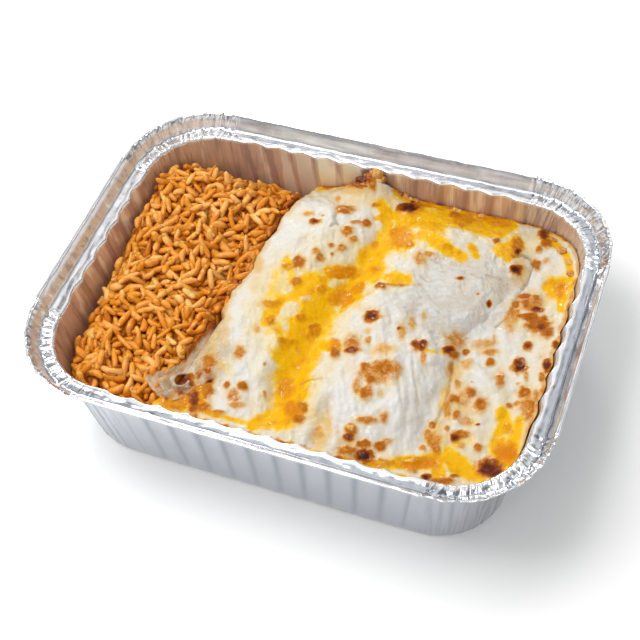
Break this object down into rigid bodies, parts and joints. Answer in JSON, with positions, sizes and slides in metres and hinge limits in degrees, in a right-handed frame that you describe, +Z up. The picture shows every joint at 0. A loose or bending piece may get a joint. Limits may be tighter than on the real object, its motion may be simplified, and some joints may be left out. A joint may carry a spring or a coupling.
{
  "type": "enchiladas with rice in a foil tray",
  "caption": "Baked enchiladas under melted cheese beside a heap of orange rice, filling an oblong fluted foil tray with a ledge and an upstanding hemmed rim.",
  "frame": {"origin": "middle of the tray's footprint, on the surface that it stands on", "axes": "+X along the tray's long side, from the rice towards the enchiladas; +Y across the tray, towards the side with the browned crust; +Z up"},
  "size_m": [0.2236, 0.1656, 0.0572],
  "materials": {
    "foil": "bright crinkled foil",
    "rice": "moist cooked rice, orange",
    "tortilla": "soft flour tortilla, softly creased",
    "melted_cheese": "melted white and yellow cheese, oily, with browned spots"
  },
  "bodies": {
    "root": {"foil_tray": "foil", "rice": "rice", "enchilada_left": "tortilla", "enchilada_right": "tortilla", "melted_cheese": "melted_cheese"}
  },
  "joints": []
}
